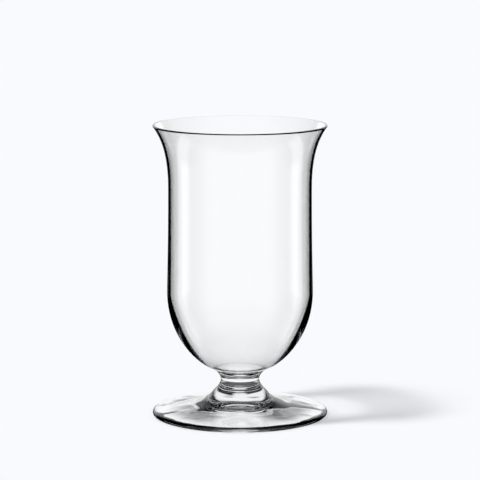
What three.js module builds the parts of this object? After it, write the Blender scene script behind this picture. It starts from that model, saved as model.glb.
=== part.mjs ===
// A short-stemmed tasting glass: a blown bowl with a flared lip, a waisted stem and a spun foot.
// Each piece is an outline turned about the Z axis. The pieces meet in flat faces, where the real ones
// are fused hot. Millimetres, +Z up, with the foot standing on z = 0.

import * as THREE from 'three';

// Heights
const GLASS_HEIGHT = 115;
const FOOT_CROWN = 8.3; // top of the foot, where the stem is fused on
const STEM_LENGTH = 5.9; // from the foot's crown to the neck, where the bowl is fused on
const CORNER_RISE = 4.65; // from the neck to the soft corner where the cup begins
const CUP_DEPTH = 30.3; // from that corner to the belly's widest ring
const FLARE_DEPTH = 24.8; // from the lip down to the waist

// Outer radii
const RIM_RADIUS = 34.05;
const WAIST_RADIUS = 28.1;
const BELLY_RADIUS = 28.67;
const CORNER_RADIUS = 11.6;
const NECK_RADIUS = 7.6;
const FOOT_JOINT_RADIUS = 11.35;
const FOOT_RADIUS = 34.5;

// Glass thickness
const LIP_WALL = 0.9;
const WAIST_WALL = 1;
const BELLY_WALL = 1.3;
const BOTTOM_WALL = 2; // from the cavity's lowest point to the neck
const FOOT_EDGE = 2;

// Underside of the foot
const RING_WIDTH = 2; // flat ring that the glass rests on
const HOLLOW_DEPTH = 4; // rise of the underside from the ring to the axis

// Slopes, in degrees
const LIP_LEAN = 35; // from upright
const CORNER_SLOPE = 21; // from level, as are the next three
const FOOT_JOINT_SLOPE = 57;
const FOOT_EDGE_SLOPE = 7;
const HOLLOW_SLOPE = 8; // where the hollow meets the ring

// Fullness: how far a curve holds its heading at an end, as a share of the straight distance it spans
const FLARE_FULLNESS = { waist: 0.54, lip: 0.22 };
const SIDE_FULLNESS = { belly: 0.06, waist: 0.5 };
const CUP_FULLNESS = { corner: 0.19, belly: 0.495 };
const CORNER_FULLNESS = { neck: 0.42, corner: 0.05 };
const CAVITY_FULLNESS = { belly: 0.305, bottom: 0.362 };
const STEM_FULLNESS = { footJoint: 0.35, neck: 0.39 };
const CROWN_FULLNESS = { edge: 0.55, joint: 0.13 };
const HOLLOW_FULLNESS = 0.4;

// Facets
const ROUND_STEPS = 48;
const LIP_STEPS = 6;
const EDGE_STEPS = 8;
const FLARE_STEPS = 9;
const SIDE_STEPS = 5;
const CUP_STEPS = 10;
const CORNER_STEPS = 7;
const STEM_STEPS = 7;
const CROWN_STEPS = 11;
const HOLLOW_STEPS = 5;

// Headings along an outline, in degrees
const OUTWARDS = 0;
const UP = 90;
const INWARDS = 180;
const DOWN = 270;

const neckHeight = FOOT_CROWN + STEM_LENGTH;
const cornerHeight = neckHeight + CORNER_RISE;
const bellyHeight = cornerHeight + CUP_DEPTH;
const waistHeight = GLASS_HEIGHT - FLARE_DEPTH;
const cavityFloor = neckHeight + BOTTOM_WALL;

// A point of an outline: its distance from the axis and its height.
function at(radius, height) {
  return new THREE.Vector2(radius, height);
}

function heading(degrees) {
  const angle = THREE.MathUtils.degToRad(degrees);
  return new THREE.Vector2(Math.cos(angle), Math.sin(angle));
}

// A smooth curve between two points that leaves and arrives at the given headings.
function sweep(start, startHeading, startFullness, end, endHeading, endFullness) {
  const span = start.distanceTo(end);
  const leave = heading(startHeading).multiplyScalar(startFullness * span).add(start);
  const arrive = heading(endHeading).multiplyScalar(-endFullness * span).add(end);
  return new THREE.CubicBezierCurve(start, leave, arrive, end);
}

// A round edge of the given thickness, from one heading of its normal to another.
function roundEdge(centre, thickness, fromNormal, toNormal) {
  const radius = thickness / 2;
  const from = THREE.MathUtils.degToRad(fromNormal);
  const to = THREE.MathUtils.degToRad(toNormal);
  return new THREE.EllipseCurve(centre.x, centre.y, radius, radius, from, to);
}

// Turns an outline about Z. Its curves run anticlockwise round the glass and end to end.
function turned(name, runs) {
  const points = [runs[0][0].getPoint(0)];
  for (const [curve, steps] of runs) {
    points.push(...curve.getPoints(steps).slice(1));
  }
  const geometry = new THREE.LatheGeometry(points, ROUND_STEPS);
  geometry.rotateX(Math.PI / 2);
  const glass = new THREE.MeshStandardMaterial({
    color: 0xf6f9fa,
    roughness: 0.03,
    metalness: 0,
    transparent: true,
    opacity: 0.35,
  });
  const piece = new THREE.Mesh(geometry, glass);
  piece.name = name;
  return piece;
}

// The blown bowl: outside from the neck up to the lip, then inside from the lip down to the cavity's floor.
function makeBowl() {
  const neck = at(NECK_RADIUS, neckHeight);
  const corner = at(CORNER_RADIUS, cornerHeight);
  const belly = at(BELLY_RADIUS, bellyHeight);
  const waist = at(WAIST_RADIUS, waistHeight);
  const innerWaist = at(WAIST_RADIUS - WAIST_WALL, waistHeight);
  const innerBelly = at(BELLY_RADIUS - BELLY_WALL, bellyHeight);
  const floor = at(0, cavityFloor);

  // The lip's round edge leans out with the wall below it.
  const lipCentre = at(RIM_RADIUS - LIP_WALL / 2, GLASS_HEIGHT - LIP_WALL / 2);
  const lip = roundEdge(lipCentre, LIP_WALL, OUTWARDS - LIP_LEAN, INWARDS - LIP_LEAN);
  const lipOutside = lip.getPoint(0);
  const lipInside = lip.getPoint(1);

  return turned('bowl', [
    [new THREE.LineCurve(at(0, neckHeight), neck), 1],
    [sweep(neck, UP, CORNER_FULLNESS.neck, corner, CORNER_SLOPE, CORNER_FULLNESS.corner), CORNER_STEPS],
    [sweep(corner, CORNER_SLOPE, CUP_FULLNESS.corner, belly, UP, CUP_FULLNESS.belly), CUP_STEPS],
    [sweep(belly, UP, SIDE_FULLNESS.belly, waist, UP, SIDE_FULLNESS.waist), SIDE_STEPS],
    [sweep(waist, UP, FLARE_FULLNESS.waist, lipOutside, UP - LIP_LEAN, FLARE_FULLNESS.lip), FLARE_STEPS],
    [lip, LIP_STEPS],
    [
      sweep(lipInside, DOWN - LIP_LEAN, FLARE_FULLNESS.lip, innerWaist, DOWN, FLARE_FULLNESS.waist),
      FLARE_STEPS,
    ],
    [sweep(innerWaist, DOWN, SIDE_FULLNESS.waist, innerBelly, DOWN, SIDE_FULLNESS.belly), SIDE_STEPS],
    [sweep(innerBelly, DOWN, CAVITY_FULLNESS.belly, floor, INWARDS, CAVITY_FULLNESS.bottom), CUP_STEPS],
  ]);
}

// The solid stem. Its flank carries on from the foot's top and narrows to the neck.
function makeStem() {
  const footJoint = at(FOOT_JOINT_RADIUS, FOOT_CROWN);
  const neck = at(NECK_RADIUS, neckHeight);
  const jointHeading = INWARDS - FOOT_JOINT_SLOPE;

  return turned('stem', [
    [new THREE.LineCurve(at(0, FOOT_CROWN), footJoint), 1],
    [sweep(footJoint, jointHeading, STEM_FULLNESS.footJoint, neck, UP, STEM_FULLNESS.neck), STEM_STEPS],
    [new THREE.LineCurve(neck, at(0, neckHeight)), 1],
  ]);
}

// The spun foot: hollow underside, flat resting ring, round edge, and a top that rises to the stem.
function makeFoot() {
  const edgeCentre = at(FOOT_RADIUS - FOOT_EDGE / 2, FOOT_EDGE / 2);
  const ringOutside = at(edgeCentre.x, 0);
  const ringInside = at(edgeCentre.x - RING_WIDTH, 0);
  const hollowTop = at(0, HOLLOW_DEPTH);
  const hollowHeading = OUTWARDS - HOLLOW_SLOPE;
  const edge = roundEdge(edgeCentre, FOOT_EDGE, -UP, UP - FOOT_EDGE_SLOPE);
  const edgeTop = edge.getPoint(1);
  const joint = at(FOOT_JOINT_RADIUS, FOOT_CROWN);
  const topHeading = INWARDS - FOOT_EDGE_SLOPE;
  const jointHeading = INWARDS - FOOT_JOINT_SLOPE;

  return turned('foot', [
    [
      sweep(hollowTop, OUTWARDS, HOLLOW_FULLNESS, ringInside, hollowHeading, HOLLOW_FULLNESS),
      HOLLOW_STEPS,
    ],
    [new THREE.LineCurve(ringInside, ringOutside), 1],
    [edge, EDGE_STEPS],
    [
      sweep(edgeTop, topHeading, CROWN_FULLNESS.edge, joint, jointHeading, CROWN_FULLNESS.joint),
      CROWN_STEPS,
    ],
    [new THREE.LineCurve(joint, at(0, FOOT_CROWN)), 1],
  ]);
}

const tastingGlass = new THREE.Group();
tastingGlass.add(makeBowl(), makeStem(), makeFoot());

export default tastingGlass;
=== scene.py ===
# %% [markdown]
# # A short-stemmed tasting glass in a bright studio
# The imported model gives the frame: three solids, a blown bowl, a short stem and a foot, that stand on z = 0
# with their common axis on Z. This lesson turns each of them again as a fine, smooth body of glass, gives
# it the optics of clear glass, and lights it as a photographer lights glass: a bright ground behind it, a
# dark room round it and a tall softbox on each side.

# %% Load the frame
import math

import bmesh
import bpy
import numpy as np
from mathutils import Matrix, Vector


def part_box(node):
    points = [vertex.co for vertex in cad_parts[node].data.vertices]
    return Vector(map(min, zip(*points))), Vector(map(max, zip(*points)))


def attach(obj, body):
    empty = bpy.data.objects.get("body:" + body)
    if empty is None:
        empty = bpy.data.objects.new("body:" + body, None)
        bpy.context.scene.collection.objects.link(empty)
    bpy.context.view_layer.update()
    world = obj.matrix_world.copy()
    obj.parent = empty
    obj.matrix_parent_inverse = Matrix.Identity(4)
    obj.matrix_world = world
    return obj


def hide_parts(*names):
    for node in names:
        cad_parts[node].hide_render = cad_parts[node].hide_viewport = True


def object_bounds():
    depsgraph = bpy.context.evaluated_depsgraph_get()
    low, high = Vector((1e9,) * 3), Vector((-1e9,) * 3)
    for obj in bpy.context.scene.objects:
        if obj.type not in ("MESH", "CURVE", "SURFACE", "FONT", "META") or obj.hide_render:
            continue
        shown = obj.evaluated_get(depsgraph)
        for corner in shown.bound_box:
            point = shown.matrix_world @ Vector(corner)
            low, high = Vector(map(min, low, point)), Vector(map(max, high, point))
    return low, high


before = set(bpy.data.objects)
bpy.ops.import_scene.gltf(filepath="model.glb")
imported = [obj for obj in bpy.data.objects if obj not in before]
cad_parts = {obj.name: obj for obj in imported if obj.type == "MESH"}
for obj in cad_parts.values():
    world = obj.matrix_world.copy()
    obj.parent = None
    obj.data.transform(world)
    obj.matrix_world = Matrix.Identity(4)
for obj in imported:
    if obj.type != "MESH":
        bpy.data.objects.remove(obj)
cad_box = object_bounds()
scene = bpy.context.scene
MM = 0.001
cad_box_mm = [[round(c / MM, 1) for c in corner] for corner in cad_box]
print("nodes", sorted(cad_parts), "box in mm", cad_box_mm)

# %% [markdown]
# ## Camera
# The photograph was taken with a long lens from a little above the glass, so its lip and its foot show as
# flat ellipses of nearly the same shape. A camera fitted to those two ellipses gives the distance, the
# height and the tilt below. The frame is square, so the sensor's width is also its height.

# %% Camera
CAMERA_DISTANCE = 980.7 * MM
CAMERA_HEIGHT = 222.9 * MM
CAMERA_TILT_DOWN = 8.89  # degrees
LENS_LENGTH = 190.0  # millimetres, as lenses are named
SENSOR_WIDTH = 36.0
QUARTER_TURN = 90  # degrees, from straight down, where a new camera or lamp looks, to level

camera_data = bpy.data.cameras.new("portrait_camera")
camera_data.lens = LENS_LENGTH
camera_data.sensor_width = SENSOR_WIDTH
camera = bpy.data.objects.new("portrait_camera", camera_data)
camera.location = (0, -CAMERA_DISTANCE, CAMERA_HEIGHT)
camera.rotation_euler = (math.radians(QUARTER_TURN - CAMERA_TILT_DOWN), 0, 0)
scene.collection.objects.link(camera)
scene.camera = camera
print("camera", round(CAMERA_DISTANCE / MM), "mm away and", CAMERA_TILT_DOWN, "degrees down")

# %% [markdown]
# ## Curves for an outline
# A glass is a body of revolution, so all of its shape is in one outline on one side of the axis. Many
# points along a spline would do, but a few smooth curves with a heading at each end say more: the waist,
# the belly and the neck are the places where the outline runs straight up. `sweep` is one cubic curve
# between two points, and a fullness says how far it holds its heading, as a share of the distance that it
# spans. The steps are fine, because glass shows every facet twice: once mirrored and once bent.

# %% Curves
OUTWARDS, UP, INWARDS, DOWN = 0, 90, 180, 270
CURVE_STEP = 0.5 * MM


def heading(degrees):
    angle = math.radians(degrees)
    return np.array((math.cos(angle), math.sin(angle)))


def sweep(start, start_heading, start_fullness, end, end_heading, end_fullness, step=CURVE_STEP):
    start, end = np.array(start), np.array(end)
    span = np.linalg.norm(end - start)
    leave = start + heading(start_heading) * start_fullness * span
    arrive = end - heading(end_heading) * end_fullness * span
    t = np.linspace(0, 1, math.ceil(span / step) + 1)[:, None]
    return (1 - t) ** 3 * start + 3 * (1 - t) ** 2 * t * leave + 3 * (1 - t) * t**2 * arrive + t**3 * end


print("up is", heading(UP).round(3).tolist(), "and a curve has a point every", CURVE_STEP / MM, "mm")

# %% [markdown]
# ## Round edges and flat faces
# Two more kinds of run close an outline. The lip and the edge of the foot are rounds, because soft glass
# draws itself round in a flame or a spin. The flat runs are the hot joints and the ring that the glass
# rests on. They are cut into steps too, so that no face grows long and thin.

# %% Round edges and flat faces
ROUND_EDGE_STEPS = 24
FLAT_STEP = 3 * CURVE_STEP


def round_edge(centre, thickness, from_normal, to_normal):
    turned = np.radians(np.linspace(from_normal, to_normal, ROUND_EDGE_STEPS + 1))[:, None]
    return np.array(centre) + thickness / 2 * np.hstack((np.cos(turned), np.sin(turned)))


def straight(start, end):
    steps = max(1, math.ceil(np.linalg.norm(np.subtract(end, start)) / FLAT_STEP))
    return np.linspace(start, end, steps + 1)


print("a round edge has", ROUND_EDGE_STEPS, "steps, a flat run one every", round(FLAT_STEP / MM, 2), "mm")

# %% [markdown]
# ## Sizes
# What the frame can tell is read from it: the height, the radii of the lip, the foot and the lower joint,
# and the heights of the two hot joints. The rest are the glass's own sizes. The wall grows from 0.9 mm at
# the lip to 1.3 mm at the belly, because the gather of glass stretches less near the bottom.

# %% Sizes
bowl_low, bowl_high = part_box("bowl")
stem_low, stem_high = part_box("stem")
GLASS_HEIGHT, RIM_RADIUS, NECK_HEIGHT = bowl_high.z, bowl_high.x, bowl_low.z
FOOT_CROWN, FOOT_JOINT_RADIUS = stem_low.z, stem_high.x
FOOT_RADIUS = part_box("foot")[1].x
NECK_RADIUS = 7.6 * MM
CUP_RADIUS, BELLY_RADIUS, WAIST_RADIUS = 11.6 * MM, 28.67 * MM, 28.1 * MM
CUP_RISE, CUP_DEPTH, FLARE_DEPTH = 4.65 * MM, 30.3 * MM, 24.8 * MM
CUP_HEIGHT = NECK_HEIGHT + CUP_RISE
BELLY_HEIGHT = CUP_HEIGHT + CUP_DEPTH
WAIST_HEIGHT = GLASS_HEIGHT - FLARE_DEPTH
LIP_WALL, WAIST_WALL, BELLY_WALL, BOTTOM_WALL = 0.9 * MM, 1.0 * MM, 1.3 * MM, 2.0 * MM
heights = {"neck": NECK_HEIGHT, "belly": BELLY_HEIGHT, "waist": WAIST_HEIGHT, "lip": GLASS_HEIGHT}
print("heights in mm", {name: round(height / MM, 2) for name, height in heights.items()})

# %% [markdown]
# ## Bowl outline
# The bowl is blown: outside it swings out of the neck into a round bottom, climbs an almost straight side
# with the least hint of a waist, and flares to the lip. The inside follows at the wall's thickness down to
# the belly and then runs to its own floor, which leaves the bottom thick. Turning one closed outline gives
# both sides and the lip as one skin, where a Solidify modifier would give the same wall everywhere.

# %% Bowl outline
LIP_LEAN = 35  # degrees from upright
CUP_SLOPE = 21  # degrees from level
SIDE_STEP = 1.5 * MM  # the side is nearly straight, so it needs fewer points
CORNER_FULLNESS = {"neck": 0.42, "cup": 0.05}
CUP_FULLNESS = {"cup": 0.19, "belly": 0.495}
SIDE_FULLNESS = {"belly": 0.06, "waist": 0.5}
FLARE_FULLNESS = {"waist": 0.54, "lip": 0.22}
CAVITY_FULLNESS = {"belly": 0.305, "floor": 0.362}

neck, cup = (NECK_RADIUS, NECK_HEIGHT), (CUP_RADIUS, CUP_HEIGHT)
belly, waist = (BELLY_RADIUS, BELLY_HEIGHT), (WAIST_RADIUS, WAIST_HEIGHT)
inner_belly = (BELLY_RADIUS - BELLY_WALL, BELLY_HEIGHT)
inner_waist = (WAIST_RADIUS - WAIST_WALL, WAIST_HEIGHT)
cavity_floor = (0, NECK_HEIGHT + BOTTOM_WALL)
lip_centre = (RIM_RADIUS - LIP_WALL / 2, GLASS_HEIGHT - LIP_WALL / 2)
lip = round_edge(lip_centre, LIP_WALL, OUTWARDS - LIP_LEAN, INWARDS - LIP_LEAN)
outside = [
    straight((0, NECK_HEIGHT), neck),
    sweep(neck, UP, CORNER_FULLNESS["neck"], cup, CUP_SLOPE, CORNER_FULLNESS["cup"]),
    sweep(cup, CUP_SLOPE, CUP_FULLNESS["cup"], belly, UP, CUP_FULLNESS["belly"]),
    sweep(belly, UP, SIDE_FULLNESS["belly"], waist, UP, SIDE_FULLNESS["waist"], SIDE_STEP),
    sweep(waist, UP, FLARE_FULLNESS["waist"], lip[0], UP - LIP_LEAN, FLARE_FULLNESS["lip"]),
]
inside = [
    sweep(lip[-1], DOWN - LIP_LEAN, FLARE_FULLNESS["lip"], inner_waist, DOWN, FLARE_FULLNESS["waist"]),
    sweep(inner_waist, DOWN, SIDE_FULLNESS["waist"], inner_belly, DOWN, SIDE_FULLNESS["belly"], SIDE_STEP),
    sweep(inner_belly, DOWN, CAVITY_FULLNESS["belly"], cavity_floor, INWARDS, CAVITY_FULLNESS["floor"]),
]
bowl_outline = outside + [lip] + inside
cavity_radius, cavity_height = np.vstack(inside).T
slices = math.pi * (cavity_radius[1:] ** 2 + cavity_radius[:-1] ** 2) / 2 * -np.diff(cavity_height)
MILLILITRE = 1e-6  # cubic metres
print("the bowl holds", round(slices.sum() / MILLILITRE), "ml to the brim")

# %% [markdown]
# ## Stem outline
# The stem is a short solid neck, drawn out of the bottom of the bowl while it is hot. It narrows from the
# foot to the neck in one curve. It takes its two ends from the pieces that it joins, so no seam can show in
# the outline.

# %% Stem outline
FOOT_JOINT_SLOPE = 57  # degrees from level, shared by the stem and the foot
STEM_FULLNESS = {"foot": 0.35, "neck": 0.39}

foot_joint = (FOOT_JOINT_RADIUS, FOOT_CROWN)
joint_heading = INWARDS - FOOT_JOINT_SLOPE
stem_outline = [
    straight((0, FOOT_CROWN), foot_joint),
    sweep(foot_joint, joint_heading, STEM_FULLNESS["foot"], neck, UP, STEM_FULLNESS["neck"]),
    straight(neck, (0, NECK_HEIGHT)),
]
print("stem from z", round(FOOT_CROWN / MM, 2), "to", round(NECK_HEIGHT / MM, 2))

# %% [markdown]
# ## Foot outline
# The foot is a blob of glass that was spun out flat. Its edge draws itself round, its top climbs to the
# stem, and its underside is a shallow hollow inside a flat ring, so that the glass stands on the ring and
# does not rock. The hollow never shows directly, but the light that leaves the foot downwards bends there.

# %% Foot outline
FOOT_EDGE, RING_WIDTH, HOLLOW_DEPTH = 2.0 * MM, 2.0 * MM, 4.0 * MM
FOOT_EDGE_SLOPE, HOLLOW_SLOPE = 7, 8  # degrees from level
HOLLOW_FULLNESS = 0.4
CROWN_FULLNESS = {"edge": 0.55, "joint": 0.13}

edge_centre = (FOOT_RADIUS - FOOT_EDGE / 2, FOOT_EDGE / 2)
ring_outside = (edge_centre[0], 0)
ring_inside = (edge_centre[0] - RING_WIDTH, 0)
hollow_top = (0, HOLLOW_DEPTH)
hollow_heading = OUTWARDS - HOLLOW_SLOPE
top_heading = INWARDS - FOOT_EDGE_SLOPE
foot_edge = round_edge(edge_centre, FOOT_EDGE, -UP, UP - FOOT_EDGE_SLOPE)
foot_outline = [
    sweep(hollow_top, OUTWARDS, HOLLOW_FULLNESS, ring_inside, hollow_heading, HOLLOW_FULLNESS),
    straight(ring_inside, ring_outside),
    foot_edge,
    sweep(
        foot_edge[-1], top_heading, CROWN_FULLNESS["edge"],
        foot_joint, joint_heading, CROWN_FULLNESS["joint"]),
    straight(foot_joint, (0, FOOT_CROWN)),
]
print("foot", round((FOOT_CROWN - HOLLOW_DEPTH) / MM, 2), "mm thick on the axis")

# %% [markdown]
# ## Turning
# A Screw modifier could turn each outline. A loop over rings of vertices closes the axis with single points
# and leaves one closed skin with no doubled vertex, so it is used here. The shading is smooth except where
# two runs meet at a real corner, such as the rim of a joint.

# %% Turning
ROUND_STEPS = 256
SHARP_CORNER = math.radians(15)
ON_AXIS = 1e-9  # metres


def turn(name, runs):
    points = np.vstack([runs[0]] + [run[1:] for run in runs[1:]])
    angles = np.linspace(0, 2 * math.pi, ROUND_STEPS, endpoint=False)
    work = bmesh.new()
    rings = []
    for radius, height in points:
        if radius < ON_AXIS:
            rings.append([work.verts.new((0, 0, height))] * ROUND_STEPS)
        else:
            ring = [(radius * math.cos(angle), radius * math.sin(angle), height) for angle in angles]
            rings.append([work.verts.new(point) for point in ring])
    for low, high in zip(rings, rings[1:]):
        for i in range(ROUND_STEPS):
            j = (i + 1) % ROUND_STEPS
            corners = dict.fromkeys((low[i], low[j], high[j], high[i]))  # on the axis two are the same point
            face = work.faces.new(list(corners))
            face.smooth = True
    mesh = bpy.data.meshes.new(name)
    work.to_mesh(mesh)
    work.free()
    mesh.set_sharp_from_angle(angle=SHARP_CORNER)
    piece = bpy.data.objects.new(name, mesh)
    scene.collection.objects.link(piece)
    print(name, len(mesh.polygons), "faces")
    return piece


bowl = turn("blown_bowl", bowl_outline)
stem = turn("waisted_stem", stem_outline)
foot = turn("spun_foot", foot_outline)

# %% [markdown]
# ## Two helpers for materials
# Colours are written as sRGB hex values, as a colour picker shows them, and the renderer wants linear
# light, so one function turns one into the other. A second function adds a node, sets it and links it,
# which keeps each material to a few lines.

# %% Helpers for materials
def linear(hex_colour):  # all the numbers are those of the sRGB standard
    parts = [int(hex_colour[i:i + 2], 16) / 255 for i in (1, 3, 5)]
    return [c / 12.92 if c <= 0.04045 else ((c + 0.055) / 1.055) ** 2.4 for c in parts] + [1]


def node(tree, kind, inputs=None, **settings):
    made = tree.nodes.new(kind)
    for name, value in settings.items():
        setattr(made, name, value)
    for name, value in (inputs or {}).items():
        if isinstance(value, bpy.types.NodeSocket):
            tree.links.new(value, made.inputs[name])
        else:
            made.inputs[name].default_value = value
    return made


print("mid grey #808080 is", round(linear("#808080")[0], 3), "in linear light")

# %% [markdown]
# ## Clear crystal
# The glass is colourless crystal without lead. Blowing and the flame leave a surface with no scratch or
# grain, so it has no roughness, and all that the eye gets is what it bends and mirrors. It isn't perfectly
# true, though: soft glass settles in slow waves, slight on the blown bowl and stronger on the spun foot.
# They break up the straight edges of whatever the glass shows, and a bump with waves of one or two
# centimetres is enough for that.
#
# Light that bends through glass on its way to the table is found only by chance, and that stays noisy. So
# the lamp's straight light passes the glass as it would pass a filter: clear where it meets the surface
# squarely and dark where it grazes it. That gives the shadow of clear glass, pale inside with dark edges.

# %% Clear crystal
CRYSTAL_IOR = 1.52
GRAZING_FROM = 0.3  # Layer Weight's facing is 0 square on and 1 along the surface
PASSED_SQUARE, PASSED_GRAZING = 0.96, 0.3
FINER_WAVES = 1.0  # how many layers of finer waves lie on the long ones


def clear_crystal(name, wave_length, wave_depth):
    crystal = bpy.data.materials.new(name)
    crystal.use_nodes = True
    tree = crystal.node_tree
    tree.nodes.clear()
    spot = node(tree, "ShaderNodeTexCoord").outputs["Object"]
    waves = node(tree, "ShaderNodeTexNoise", {
        "Vector": spot, "Scale": 1 / wave_length, "Detail": FINER_WAVES})
    bump = node(tree, "ShaderNodeBump", {"Height": waves.outputs[0], "Distance": wave_depth})
    rays = node(tree, "ShaderNodeLightPath")
    facing = node(tree, "ShaderNodeLayerWeight")
    passed = node(tree, "ShaderNodeMapRange", {
        "Value": facing.outputs["Facing"], "From Min": GRAZING_FROM, "From Max": 1.0,
        "To Min": PASSED_SQUARE, "To Max": PASSED_GRAZING})
    opened = node(tree, "ShaderNodeMath", {
        0: rays.outputs["Is Shadow Ray"], 1: passed.outputs["Result"]}, operation="MULTIPLY")
    closed = node(tree, "ShaderNodeMath", {0: 1.0, 1: opened.outputs[0]}, operation="SUBTRACT")
    shader = node(tree, "ShaderNodeBsdfPrincipled", {
        "Base Color": linear("#FFFFFF"), "Roughness": 0.0, "IOR": CRYSTAL_IOR, "Transmission Weight": 1.0,
        "Normal": bump.outputs["Normal"], "Alpha": closed.outputs[0]})
    node(tree, "ShaderNodeOutputMaterial", {"Surface": shader.outputs["BSDF"]})
    print(name, "has waves of", round(wave_length / MM), "mm")
    return crystal


BOWL_WAVE, BOWL_WAVE_DEPTH = 22 * MM, 0.03 * MM
FOOT_WAVE, FOOT_WAVE_DEPTH = 15 * MM, 0.7 * MM  # real ones are shallower, these are deep enough to show
blown_crystal = clear_crystal("crystal_blown_fire_polished", BOWL_WAVE, BOWL_WAVE_DEPTH)
spun_crystal = clear_crystal("crystal_spun_fire_polished", FOOT_WAVE, FOOT_WAVE_DEPTH)

# %% [markdown]
# ## Hot joints
# The real glass is one body: where bowl, stem and foot were fused, no surface is left to mirror or bend
# light. The meshes do have a flat disc on each side of a joint, and those would show as silver. A second
# material with an alpha of zero takes them out of sight and leaves each mesh closed.

# %% Hot joints
fused_crystal = bpy.data.materials.new("crystal_hot_fused")
fused_crystal.use_nodes = True
tree = fused_crystal.node_tree
tree.nodes.clear()
unseen = node(tree, "ShaderNodeBsdfPrincipled", {"Base Color": linear("#FFFFFF"), "Alpha": 0.0})
node(tree, "ShaderNodeOutputMaterial", {"Surface": unseen.outputs["BSDF"]})
LEVEL_WITHIN = 1e-6  # metres
FUSED_SLOT = 1  # after the clear crystal, which every face has at first

for piece, crystal in ((bowl, blown_crystal), (stem, blown_crystal), (foot, spun_crystal)):
    piece.data.materials.append(crystal)
    piece.data.materials.append(fused_crystal)
    vertex_heights = np.array([vertex.co.z for vertex in piece.data.vertices])
    fused = 0
    for face in piece.data.polygons:
        for joint_height in (FOOT_CROWN, NECK_HEIGHT):
            if np.abs(vertex_heights[list(face.vertices)] - joint_height).max() < LEVEL_WITHIN:
                face.material_index = FUSED_SLOT
                fused += 1
    print(piece.name, fused, "joint faces")

# %% [markdown]
# ## Table
# The glass stands on a plain white table. One large square is enough, and it goes on until its end is out
# of sight, so that the picture has no horizon. A hair of air under the foot keeps two surfaces from
# coinciding, which would show as black specks.

# %% Table
TABLE_REACH = 20.0  # metres from its middle to a side
AIR_UNDER_FOOT = 0.05 * MM

table_mesh = bpy.data.meshes.new("white_table")
work = bmesh.new()
bmesh.ops.create_grid(work, x_segments=1, y_segments=1, size=TABLE_REACH)
work.to_mesh(table_mesh)
work.free()
table = bpy.data.objects.new("white_table", table_mesh)
table.location.z = -AIR_UNDER_FOOT
scene.collection.objects.link(table)
print("table", 2 * TABLE_REACH, "m wide,", round(AIR_UNDER_FOOT / MM, 2), "mm under the foot")

# %% [markdown]
# ## Painted shade under the foot
# The table isn't evenly lit where the foot covers it. The curved glass gathers the light to the middle and
# to the edge, and leaves a grey patch on the left and on the right. Those patches are what breaks up the
# clear foot in the photograph, so they are painted in as shade: a ring of painted shade by the distance from
# the axis, kept where that direction is more to the side than to the front.

# %% Painted shade under the foot
SHADE_BEGINS, SHADE_FULL, SHADE_FADES, SHADE_ENDS = 8 * MM, 14 * MM, 23 * MM, 29 * MM  # from the axis
LIGHT_LEFT = 0.3  # where the shade is full
BESIDE_FROM, BESIDE_TO = 0.35, 0.75  # sideways distance as a share of the distance from the axis
A, B = 2, 3  # the two plain number inputs of a Mix node

laminate = bpy.data.materials.new("laminate_matt_white")
laminate.use_nodes = True
tree = laminate.node_tree
tree.nodes.clear()
spot = node(tree, "ShaderNodeNewGeometry").outputs["Position"]
reach = node(tree, "ShaderNodeVectorMath", {0: spot}, operation="LENGTH")
distance = reach.outputs["Value"]
into_shade = node(tree, "ShaderNodeMapRange", {
    "Value": distance, "From Min": SHADE_BEGINS, "From Max": SHADE_FULL,
    "To Min": 1.0, "To Max": LIGHT_LEFT})
out_of_shade = node(tree, "ShaderNodeMapRange", {
    "Value": distance, "From Min": SHADE_FADES, "From Max": SHADE_ENDS,
    "To Min": LIGHT_LEFT, "To Max": 1.0})
ring = node(tree, "ShaderNodeMath", {
    0: into_shade.outputs["Result"], 1: out_of_shade.outputs["Result"]}, operation="MAXIMUM")
apart = node(tree, "ShaderNodeSeparateXYZ", {"Vector": spot})
sideways = node(tree, "ShaderNodeMath", {0: apart.outputs["X"]}, operation="ABSOLUTE")
turned = node(tree, "ShaderNodeMath", {0: sideways.outputs[0], 1: distance}, operation="DIVIDE")
beside = node(tree, "ShaderNodeMapRange", {
    "Value": turned.outputs[0], "From Min": BESIDE_FROM, "From Max": BESIDE_TO})
# painted shade: a ring of grey to the left and right of the foot's axis, drawn, not lit
painted_shade_patches = node(tree, "ShaderNodeMix", {"Factor": beside.outputs["Result"], A: 1.0, B: ring.outputs[0]})
print("patches from", round(SHADE_BEGINS / MM), "to", round(SHADE_ENDS / MM), "mm from the axis")

# %% [markdown]
# ## Matt white laminate
# The table top is a laminate pressed to a matt finish: it scatters light evenly and shows no gloss, only
# the glass's shadow. A mirrored or bent view doesn't need its surface. There the table gives way to the
# studio's own levels, dimmed by the painted shade patches, so that the glass shows one clean pale ground.

# %% Matt white laminate
PALE = "#F9FAFC"

rays = node(tree, "ShaderNodeLightPath")
bent = node(tree, "ShaderNodeMath", {
    0: rays.outputs["Is Glossy Ray"], 1: rays.outputs["Is Transmission Ray"]}, operation="MAXIMUM")
matt = node(tree, "ShaderNodeBsdfDiffuse", {"Color": linear(PALE)})
# the painted shade darkens what mirrored and bent rays see of the table under the foot
given_way = node(tree, "ShaderNodeBsdfTransparent", {"Color": painted_shade_patches.outputs[0]})
surface = node(tree, "ShaderNodeMixShader", {
    "Fac": bent.outputs[0], 1: matt.outputs["BSDF"], 2: given_way.outputs["BSDF"]})
node(tree, "ShaderNodeOutputMaterial", {"Surface": surface.outputs["Shader"]})
table_mesh.materials.append(laminate)
print("laminate of", len(tree.nodes), "nodes")

# %% [markdown]
# ## Key light
# One large lamp, high and a little in front on the left, throws the shadow to the right. A Sun lamp gives
# parallel light, and its angle is how large the lamp looks: wide enough for a soft edge. It gives its share
# of the light that makes the white table white, and the studio gives the rest. A matt surface spreads what
# it gets over all directions, which divides it by pi, and a slanting lamp gives it less, so the energy makes
# up for both. The photograph shows no lamp in the glass, so rays that came through glass or off it don't see
# this one.

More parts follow.
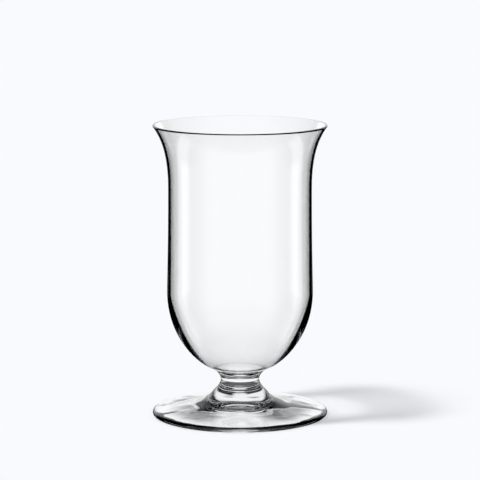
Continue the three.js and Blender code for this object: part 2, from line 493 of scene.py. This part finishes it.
# %% Key light
KEY_SHARE = 0.45
KEY_ELEVATION, KEY_TURN, KEY_ANGLE = 62, 20, 8  # degrees

key_data = bpy.data.lights.new("key_softbox", "SUN")
key_data.energy = KEY_SHARE * math.pi / math.sin(math.radians(KEY_ELEVATION))
key_data.angle = math.radians(KEY_ANGLE)
key_data.use_nodes = True
tree = key_data.node_tree
tree.nodes.clear()
rays = node(tree, "ShaderNodeLightPath")
unbent = node(tree, "ShaderNodeMath", {
    0: 1.0, 1: rays.outputs["Transmission Depth"]}, operation="SUBTRACT", use_clamp=True)
lamp = node(tree, "ShaderNodeEmission", {"Strength": unbent.outputs[0]})
node(tree, "ShaderNodeOutputLight", {"Surface": lamp.outputs["Emission"]})
key = bpy.data.objects.new("key_softbox", key_data)
key.rotation_euler = (0, -math.radians(QUARTER_TURN - KEY_ELEVATION), math.radians(KEY_TURN))
key.visible_glossy = False
scene.collection.objects.link(key)
print("key light gives", KEY_SHARE, "of the light, with an energy of", round(key_data.energy, 2))

# %% [markdown]
# ## Directions in the studio
# Glass has no look of its own, so the studio round it is drawn with care, in the world. It is drawn by
# direction: how far to the side a ray goes, counted from straight behind the glass, and how high. Both are
# turned into a number from 0 to 1 that a colour ramp can read.

# %% Directions
world = bpy.data.worlds.new("studio")
scene.world = world
world.use_nodes = True
tree = world.node_tree
tree.nodes.clear()
direction = node(tree, "ShaderNodeTexCoord").outputs["Generated"]
along = node(tree, "ShaderNodeSeparateXYZ", {"Vector": direction})
azimuth = node(tree, "ShaderNodeMath", {0: along.outputs["X"], 1: along.outputs["Y"]}, operation="ARCTAN2")
sideways = node(tree, "ShaderNodeMath", {0: azimuth.outputs[0]}, operation="ABSOLUTE")
elevation = node(tree, "ShaderNodeMath", {0: along.outputs["Z"]}, operation="ARCSINE")
to_side = node(tree, "ShaderNodeMapRange", {"Value": sideways.outputs[0], "From Max": math.pi})
to_top = node(tree, "ShaderNodeMapRange", {
    "Value": elevation.outputs[0], "From Min": -math.pi / 2, "From Max": math.pi / 2})
print("directions take", len(tree.nodes), "nodes")

# %% [markdown]
# ## Levels of the studio
# Each list gives a level of light at some angles, in degrees. What the glass mirrors is the room: the
# bright ground straight behind, darkness beside it, a tall softbox on each side that lays a white stripe
# along the bowl, and a dim front. Higher up the ground is wider, and the ceiling is dark. What the glass
# only bends is the bright ground, whichever way it is looked through, up to a height where the ceiling
# begins. Three more lists say how one height leads over to the next.

# %% Levels
SIDEWAYS = (to_side, 0)  # the number from 0 to 1, and how far below zero its angles begin
UPWARDS = (to_top, QUARTER_TURN)
HALF_TURN = 2 * QUARTER_TURN
LEVELS = {
    "room": (SIDEWAYS, [
        (5, 1.0), (9, 0.0), (60, 0.0), (65, 1.05), (84, 1.05), (90, 0.25), (110, 0.4), (130, 0.75)]),
    "upper_room": (SIDEWAYS, [(32, 1.0), (42, 0.0), (95, 0.0), (130, 0.75)]),
    "ceiling": (SIDEWAYS, [(95, 0.0), (130, 0.35)]),
    "ground": (UPWARDS, [(20, 1.05), (36, 0.1), (90, 0.3)]),
    "above_table": (UPWARDS, [(-52, 0.0), (-42, 1.0)]),
    "above_horizon": (UPWARDS, [(-3, 0.0), (2, 1.0)]),
    "above_walls": (UPWARDS, [(16, 0.0), (34, 1.0)]),
}

level = {}
for name, ((turned_by, below_zero), angles) in LEVELS.items():
    ramp = node(tree, "ShaderNodeValToRGB", {"Fac": turned_by.outputs["Result"]})
    stops = ramp.color_ramp.elements
    while len(stops) < len(angles):
        stops.new(1.0)
    for stop, (angle, brightness) in zip(stops, angles):
        stop.position = (angle + below_zero) / HALF_TURN
        stop.color = (brightness, brightness, brightness, 1)
    level[name] = ramp.outputs["Color"]
    print(name, [round(stop.color[0], 2) for stop in stops])

# %% [markdown]
# ## What the glass mirrors
# The levels are joined from the table up to the ceiling. Light that was thrown to and fro inside the glass
# more than three times may come from anywhere in the room, which is mostly dark. It comes out at the round
# edge of the foot and along the bowl's outline, and draws them black.

# %% What the glass mirrors
SHADED_TABLE = 0.1
THROWN_LEVEL = 0.0
THROWN_FROM, THROWN_TO = 3, 6  # reflections, over which the light fades to that level

rays = node(tree, "ShaderNodeLightPath")
walls = node(tree, "ShaderNodeMix", {
    "Factor": level["above_horizon"], A: level["room"], B: level["upper_room"]})
closed_room = node(tree, "ShaderNodeMix", {
    "Factor": level["above_walls"], A: walls.outputs[0], B: level["ceiling"]})
whole_room = node(tree, "ShaderNodeMix", {
    "Factor": level["above_table"], A: SHADED_TABLE, B: closed_room.outputs[0]})
thrown = node(tree, "ShaderNodeMapRange", {
    "Value": rays.outputs["Glossy Depth"], "From Min": THROWN_FROM, "From Max": THROWN_TO})
mirrored = node(tree, "ShaderNodeMix", {
    "Factor": thrown.outputs["Result"], A: whole_room.outputs[0], B: THROWN_LEVEL})
print("light is dark after", THROWN_TO, "reflections")

# %% [markdown]
# ## What each ray sees
# A ray from the camera sees plain white. A ray that was mirrored anywhere on its way sees the room, and one
# that only bent sees the ground. Every other ray carries light to the table and gets the even level that
# the key light leaves over. The Light Path node tells them apart.

# %% What each ray sees
EVEN_LEVEL = (1 - KEY_SHARE) / linear(PALE)[1]  # makes up for the little that the pale tint takes
PLAIN_WHITE = 1.0

mirrors = node(tree, "ShaderNodeMath", {0: rays.outputs["Glossy Depth"], 1: 1.0}, operation="MINIMUM")
in_glass = node(tree, "ShaderNodeMix", {
    "Factor": mirrors.outputs[0], A: level["ground"], B: mirrored.outputs[0]})
bent = node(tree, "ShaderNodeMath", {
    0: rays.outputs["Is Glossy Ray"], 1: rays.outputs["Is Transmission Ray"]}, operation="MAXIMUM")
looking = node(tree, "ShaderNodeMath", {
    0: 1.0, 1: rays.outputs["Diffuse Depth"]}, operation="SUBTRACT", use_clamp=True)
looked_at = node(tree, "ShaderNodeMath", {0: bent.outputs[0], 1: looking.outputs[0]}, operation="MULTIPLY")
lit = node(tree, "ShaderNodeMix", {"Factor": looked_at.outputs[0], A: EVEN_LEVEL, B: in_glass.outputs[0]})
seen = node(tree, "ShaderNodeMix", {
    "Factor": rays.outputs["Is Camera Ray"], A: lit.outputs[0], B: PLAIN_WHITE})
tinted = node(tree, "ShaderNodeVectorMath", {
    0: linear(PALE)[:3], "Scale": seen.outputs[0]}, operation="SCALE")
backdrop = node(tree, "ShaderNodeBackground", {"Color": tinted.outputs[0]})
node(tree, "ShaderNodeOutputWorld", {"Surface": backdrop.outputs["Background"]})
print("studio of", len(tree.nodes), "nodes")

# %% [markdown]
# ## Light paths
# A ray that crosses a glass meets four surfaces or more, and inside the stem and the foot it is thrown back
# many times. The default counts would end it early and leave black spots. The filter that blurs gloss to
# save time would frost the glass for the light that goes on to the table, so it is off.

# %% Light paths
SURFACES_CROSSED = 24
TIMES_MIRRORED = 16

scene.view_settings.view_transform = "Standard"
scene.cycles.max_bounces = SURFACES_CROSSED
scene.cycles.transmission_bounces = SURFACES_CROSSED
scene.cycles.glossy_bounces = TIMES_MIRRORED
scene.cycles.transparent_max_bounces = SURFACES_CROSSED
scene.cycles.blur_glossy = 0.0
print("up to", scene.cycles.max_bounces, "bounces")

# %% [markdown]
# ## Hand over
# Nothing on a drinking glass moves, so all three pieces ride on the one body. Each stands for its solid in
# the frame, and that solid is hidden.

# %% Hand over
for piece, solid in ((bowl, "bowl"), (stem, "stem"), (foot, "foot")):
    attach(piece, "root")
    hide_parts(solid)
